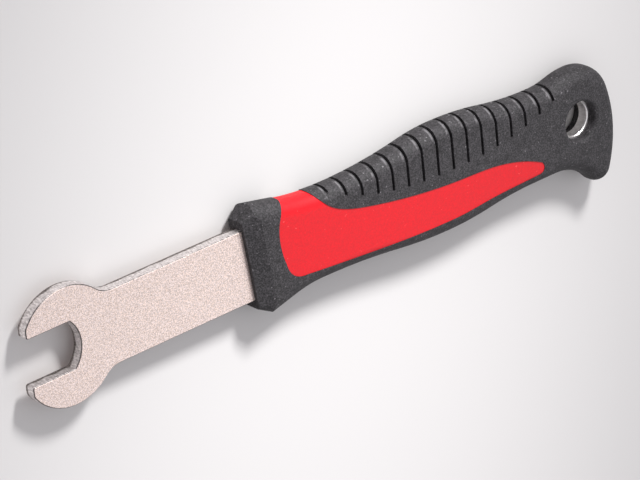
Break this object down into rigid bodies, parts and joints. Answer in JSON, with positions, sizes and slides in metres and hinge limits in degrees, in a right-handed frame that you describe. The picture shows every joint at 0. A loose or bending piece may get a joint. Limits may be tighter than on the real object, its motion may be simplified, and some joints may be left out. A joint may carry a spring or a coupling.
{
  "type": "pedal wrench",
  "caption": "Pedal wrench: a flat steel blade with an open jaw and a long moulded grip, grooved along one edge and flared at the butt around a hanging hole.",
  "frame": {"origin": "on the axis of the nut held in the jaw, in the middle plane of the steel plate", "axes": "the tool lies on its face: +X runs from the jaw to the butt, +Y across the blade towards the grooved edge, +Z out of the upper face along the nut's axis"},
  "size_m": [0.228, 0.0423, 0.0108],
  "materials": {
    "steel": "satin, fine grain",
    "red_plastic": "smooth, semi-gloss",
    "black_rubber": "matte, fine texture"
  },
  "bodies": {
    "root": {"steel_blade": "steel", "handle_core": "red_plastic", "grip_cover": "black_rubber"}
  },
  "joints": []
}
